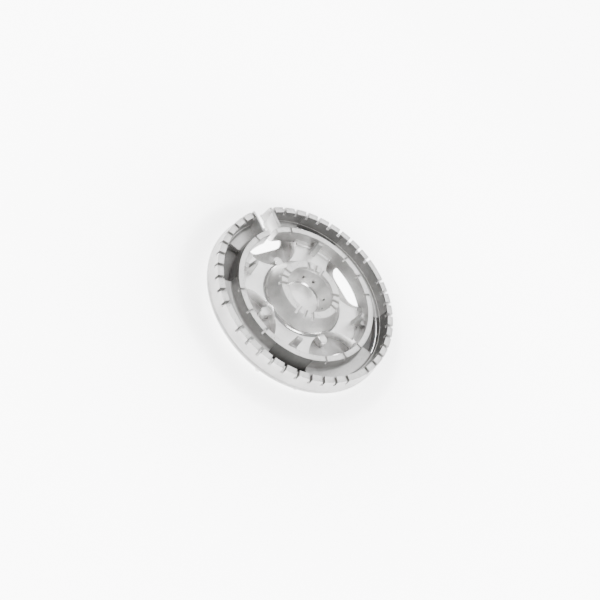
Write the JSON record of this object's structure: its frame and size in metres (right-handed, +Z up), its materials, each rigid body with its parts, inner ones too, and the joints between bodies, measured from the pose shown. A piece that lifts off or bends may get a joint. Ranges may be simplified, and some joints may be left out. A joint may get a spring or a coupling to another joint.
{
  "type": "gas burner head",
  "caption": "Triple-ring gas hob burner head: slotted cast-aluminium port rings around a spoked hub, on a base plate with gas ducts and locating pegs.",
  "frame": {"origin": "on the crown's axis, at the plane of the locating pegs' ends and the base plate's underside", "axes": "+Z up along the crown's axis towards the flames; +Y towards the ignition gap in the outer port ring; the spokes lie at 45, 135, 225 and 315 degrees"},
  "size_m": [0.13, 0.1297, 0.0205],
  "materials": {
    "cast_aluminium": "satin die-cast aluminium with fine pitting on the top faces",
    "fine_cast_aluminium": "smooth satin die-cast aluminium",
    "heat_darkened_aluminium": "dull grey die-cast aluminium",
    "zinc_plated_steel": "zinc-plated steel"
  },
  "bodies": {
    "root": {"outer_port_ring": "cast_aluminium", "inner_port_ring": "cast_aluminium", "channel_floor": "fine_cast_aluminium", "spoke_deck": "fine_cast_aluminium", "hub_cone": "cast_aluminium", "hub_cup": "fine_cast_aluminium", "base_plate": "heat_darkened_aluminium", "inlet_collar": "heat_darkened_aluminium", "cap_fin_1": "fine_cast_aluminium", "cap_fin_2": "fine_cast_aluminium", "cap_fin_3": "fine_cast_aluminium", "cap_fin_4": "fine_cast_aluminium", "spoke_duct_1": "heat_darkened_aluminium", "spoke_duct_2": "heat_darkened_aluminium", "spoke_duct_3": "heat_darkened_aluminium", "spoke_duct_4": "heat_darkened_aluminium", "base_screw_1": "zinc_plated_steel", "base_screw_2": "zinc_plated_steel", "base_screw_3": "zinc_plated_steel", "base_screw_4": "zinc_plated_steel", "locating_peg_1": "cast_aluminium", "locating_peg_2": "cast_aluminium", "locating_peg_3": "cast_aluminium", "locating_peg_4": "cast_aluminium", "locating_peg_5": "cast_aluminium", "locating_peg_6": "cast_aluminium"}
  },
  "joints": []
}
